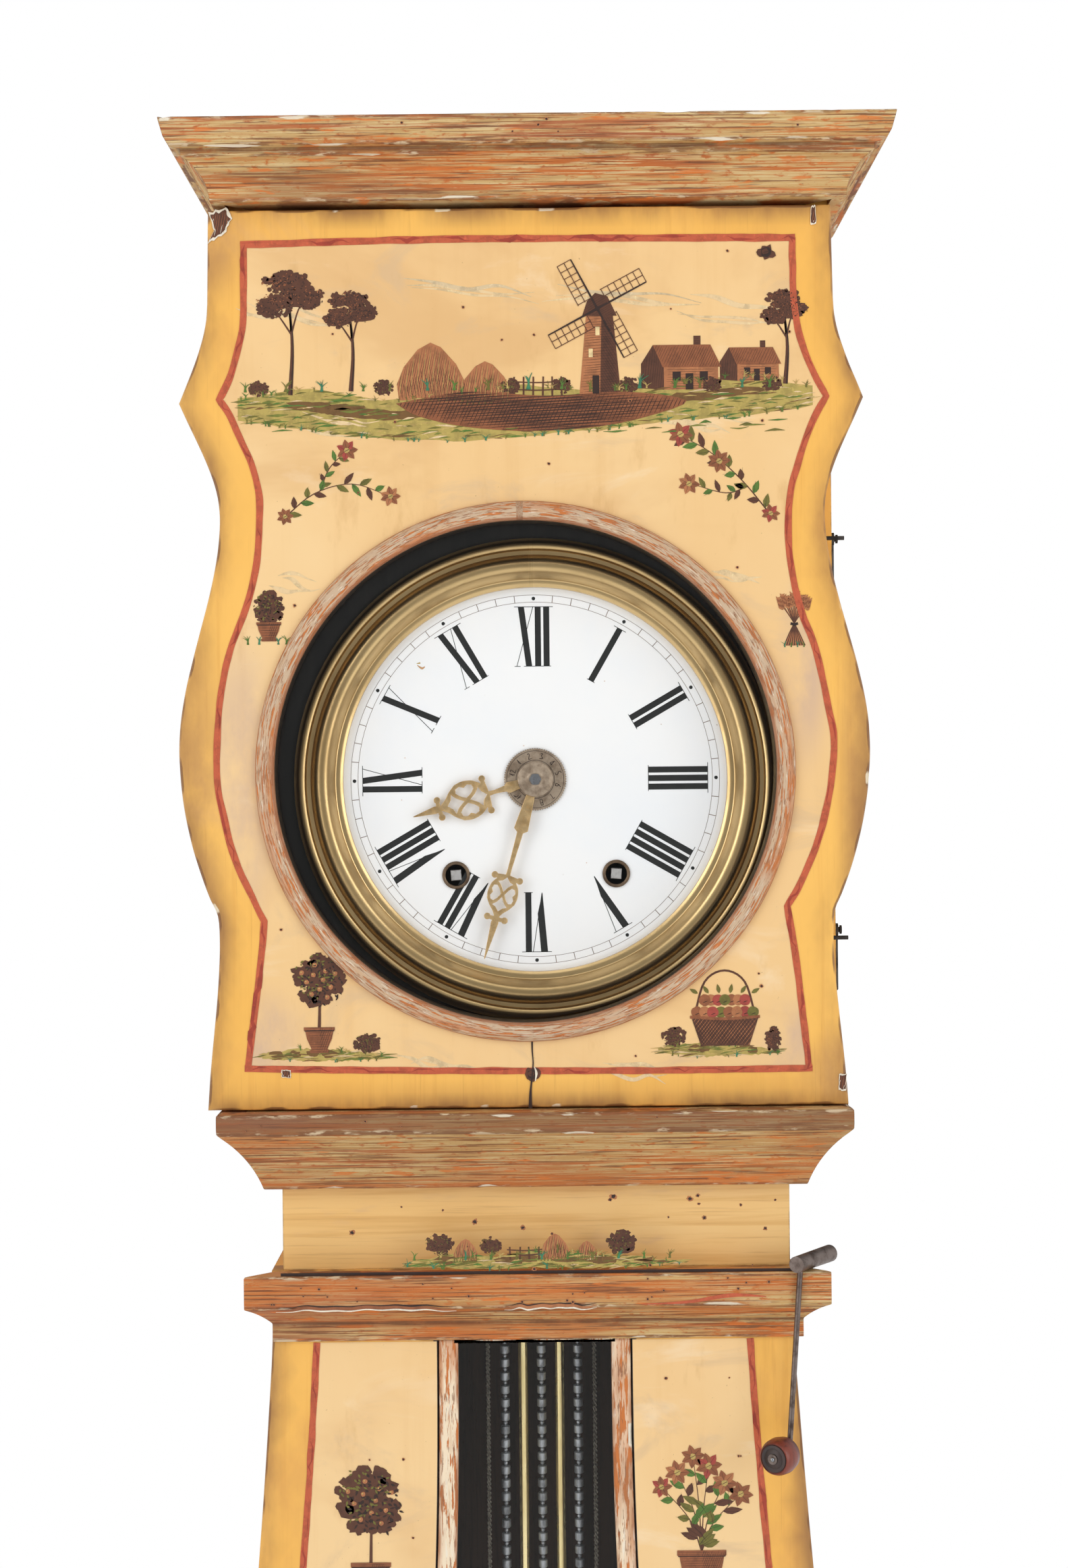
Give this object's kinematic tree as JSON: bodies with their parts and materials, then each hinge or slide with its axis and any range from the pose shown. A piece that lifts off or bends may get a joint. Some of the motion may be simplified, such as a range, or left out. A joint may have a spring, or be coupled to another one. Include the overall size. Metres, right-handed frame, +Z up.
{
  "type": "longcase clock",
  "caption": "Longcase clock with a violin-shaped painted case, glazed dial opening, glazed trunk window, grid pendulum and weight-driven movement.",
  "frame": {"origin": "on the floor, at the middle of the plan of the whole case", "axes": "+Z up; the front with the dial faces -Y; +X to the right as seen from the front"},
  "size_m": [0.453, 0.282, 2.3425],
  "materials": {
    "aged_brass": "aged, olive-brown",
    "black_paint": "black paint",
    "bright_brass": "polished",
    "cord": "twisted gut line",
    "cream_paint": "worn painted wood",
    "dark_iron": "dark wrought iron",
    "dark_wood": "dark aged wood",
    "enamel": "glossy white enamel on copper",
    "glass": "clear",
    "knob_wood": "polished red-brown wood",
    "moulding_paint": "orange-brown paint streaked with greenish cream",
    "raw_pine": "aged bare pine",
    "side_paint": "worn painted wood",
    "steel": "dull",
    "strip_paint": "worn white over orange paint"
  },
  "bodies": {
    "case": {"plinth_skirting": "moulding_paint", "floor_board": "raw_pine", "trunk_front": "cream_paint", "trunk_sides": "side_paint", "trunk_back": "raw_pine", "trunk_cornice": "moulding_paint", "neck_boards": "cream_paint", "waist_moulding": "moulding_paint", "head_sides": "side_paint", "head_back": "raw_pine", "roof_board": "raw_pine", "top_cornice": "moulding_paint", "seat_board": "dark_wood", "dial_mask": "black_paint", "case_irons": "dark_iron", "cage_frame": "dark_iron", "cage_straps": "dark_iron", "dial_surround": "aged_brass", "enamel_dial": "enamel", "winding_eyelets": "bright_brass", "motion_bridge": "steel", "bell": "aged_brass"},
    "head_door": {"head_door": "cream_paint", "opening_ring": "strip_paint", "dial_glass": "glass", "head_door_irons": "dark_iron"},
    "upper_hook": {"upper_hook": "dark_iron"},
    "lower_hook": {"lower_hook": "dark_iron"},
    "trunk_door": {"trunk_door": "strip_paint", "trunk_door_glass": "glass", "trunk_door_irons": "dark_iron"},
    "turn_button": {"turn_button": "dark_wood"},
    "minute_train": {"minute_hand": "bright_brass", "centre_arbor": "steel", "hand_nut": "steel"},
    "hour_train": {"hour_hand": "bright_brass", "hour_wheel": "bright_brass"},
    "alarm_disc": {"alarm_disc": "aged_brass"},
    "minute_wheel": {"minute_wheel": "bright_brass"},
    "second_wheel": {"second_wheel": "bright_brass"},
    "going_great_wheel": {"going_great_wheel": "bright_brass"},
    "third_wheel": {"third_wheel": "bright_brass"},
    "escape_wheel": {"escape_wheel": "bright_brass"},
    "pendulum": {"suspension": "steel", "pendulum_frame": "bright_brass", "beaded_columns": "steel", "bob": "bright_brass"},
    "anchor": {"anchor": "steel"},
    "going_weight": {"going_weight": "dark_iron", "going_line": "cord"},
    "going_barrel": {"going_barrel": "aged_brass"},
    "strike_weight": {"strike_weight": "dark_iron", "strike_line": "cord"},
    "strike_barrel": {"strike_barrel": "aged_brass"},
    "strike_great_wheel": {"strike_great_wheel": "bright_brass"},
    "pin_wheel": {"pin_wheel": "bright_brass"},
    "fly": {"fly": "bright_brass"},
    "hammer": {"hammer": "dark_iron"},
    "crank": {"crank": "dark_iron"},
    "crank_knob": {"crank_knob": "knob_wood"}
  },
  "joints": [
    {"name": "head_door_swing", "type": "hinge", "parent": "case", "child": "head_door", "pos_m": [-0.1942, -0.085, 1.935], "axis": [0, 0, -1], "range_deg": [0, 95]},
    {"name": "upper_hook_swing", "type": "hinge", "parent": "case", "child": "upper_hook", "pos_m": [0.1925, -0.06, 2.0879], "axis": [-1, 0, 0], "range_deg": [0, 76]},
    {"name": "lower_hook_swing", "type": "hinge", "parent": "case", "child": "lower_hook", "pos_m": [0.1925, -0.06, 1.8361], "axis": [-1, 0, 0], "range_deg": [0, 76]},
    {"name": "trunk_door_swing", "type": "hinge", "parent": "case", "child": "trunk_door", "pos_m": [-0.06853, -0.087, 1.5805], "axis": [0, 0, -1], "range_deg": [0, 100]},
    {"name": "turn_button_turn", "type": "hinge", "parent": "case", "child": "turn_button", "pos_m": [0.1057, -0.087, 0.9605], "axis": [0, 1, 0], "range_deg": [-90, 0]},
    {"name": "minute_hand_turn", "type": "hinge", "parent": "case", "child": "minute_train", "pos_m": [0.0008, 0, 1.935], "axis": [0, 1, 0], "continuous": true},
    {"name": "hour_hand_turn", "type": "hinge", "parent": "case", "child": "hour_train", "pos_m": [0.0008, 0, 1.935], "axis": [0, 1, 0], "continuous": true},
    {"name": "alarm_disc_turn", "type": "hinge", "parent": "hour_train", "child": "alarm_disc", "pos_m": [0.0008, 0, 1.935], "axis": [0, 1, 0], "continuous": true},
    {"name": "minute_wheel_turn", "type": "hinge", "parent": "case", "child": "minute_wheel", "pos_m": [0.0248, 0, 1.935], "axis": [0, 1, 0], "continuous": true},
    {"name": "second_wheel_turn", "type": "hinge", "parent": "case", "child": "second_wheel", "pos_m": [0.0233, 0, 1.91426], "axis": [0, 1, 0], "continuous": true},
    {"name": "going_great_wheel_turn", "type": "hinge", "parent": "case", "child": "going_great_wheel", "pos_m": [0.0522, 0, 1.874], "axis": [0, 1, 0], "continuous": true},
    {"name": "third_wheel_turn", "type": "hinge", "parent": "case", "child": "third_wheel", "pos_m": [0.01596, 0, 1.96158], "axis": [0, 1, 0], "continuous": true},
    {"name": "escape_wheel_turn", "type": "hinge", "parent": "case", "child": "escape_wheel", "pos_m": [0.0008, 0, 1.985], "axis": [0, 1, 0], "continuous": true},
    {"name": "pendulum_swing", "type": "hinge", "parent": "case", "child": "pendulum", "pos_m": [0.0008, 0, 2.023], "axis": [0, 1, 0], "range_deg": [-2.5, 2.5]},
    {"name": "anchor_swing", "type": "hinge", "parent": "case", "child": "anchor", "pos_m": [0.0008, 0, 2.023], "axis": [0, 1, 0], "range_deg": [-2.6, 2.6]},
    {"name": "going_weight_drop", "type": "slide", "parent": "case", "child": "going_weight", "axis": [0, 0, 1], "range_m": [-0.75, 0.54], "deforming": ["going_line"]},
    {"name": "going_barrel_turn", "type": "hinge", "parent": "case", "child": "going_barrel", "pos_m": [0.0522, 0, 1.874], "axis": [0, 1, 0], "range_deg": [-2980, 2147]},
    {"name": "strike_weight_drop", "type": "slide", "parent": "case", "child": "strike_weight", "axis": [0, 0, 1], "range_m": [-0.75, 0.54], "deforming": ["strike_line"]},
    {"name": "strike_barrel_turn", "type": "hinge", "parent": "case", "child": "strike_barrel", "pos_m": [-0.0506, 0, 1.874], "axis": [0, 1, 0], "range_deg": [-2147, 2980]},
    {"name": "strike_great_wheel_turn", "type": "hinge", "parent": "case", "child": "strike_great_wheel", "pos_m": [-0.0506, 0, 1.874], "axis": [0, 1, 0], "continuous": true},
    {"name": "pin_wheel_turn", "type": "hinge", "parent": "case", "child": "pin_wheel", "pos_m": [-0.0217, 0, 1.91426], "axis": [0, 1, 0], "continuous": true},
    {"name": "fly_turn", "type": "hinge", "parent": "case", "child": "fly", "pos_m": [-0.03633, 0, 1.93515], "axis": [0, 1, 0], "continuous": true},
    {"name": "hammer_swing", "type": "hinge", "parent": "case", "child": "hammer", "pos_m": [-0.0722, 0.019, 2.051], "axis": [0, 0, 1], "range_deg": [0, 14], "stiffness_Nm_per_rad": 0.02, "springref_deg": -5.73},
    {"name": "crank_lift", "type": "slide", "parent": "case", "child": "crank", "axis": [0, 0, 1], "range_m": [0, 0.03]},
    {"name": "crank_knob_turn", "type": "hinge", "parent": "crank", "child": "crank_knob", "pos_m": [0.1552, -0.10785, 1.5132], "axis": [-0.5736, -0.8192, 0], "continuous": true}
  ],
  "couplings": [
    {"joint": "hour_hand_turn", "follows": "minute_hand_turn", "ratio": 0.083333},
    {"joint": "minute_wheel_turn", "follows": "minute_hand_turn", "ratio": -0.33333},
    {"joint": "second_wheel_turn", "follows": "minute_hand_turn", "ratio": -0.5},
    {"joint": "going_great_wheel_turn", "follows": "minute_hand_turn", "ratio": 0.083333},
    {"joint": "third_wheel_turn", "follows": "minute_hand_turn", "ratio": -7.5},
    {"joint": "escape_wheel_turn", "follows": "minute_hand_turn", "ratio": 60},
    {"joint": "anchor_swing", "follows": "pendulum_swing", "ratio": 1},
    {"joint": "going_barrel_turn", "follows": "going_weight_drop", "rad_per_m": 69.204},
    {"joint": "strike_barrel_turn", "follows": "strike_weight_drop", "rad_per_m": -69.204},
    {"joint": "pin_wheel_turn", "follows": "strike_great_wheel_turn", "ratio": -6},
    {"joint": "fly_turn", "follows": "strike_great_wheel_turn", "ratio": 24}
  ]
}
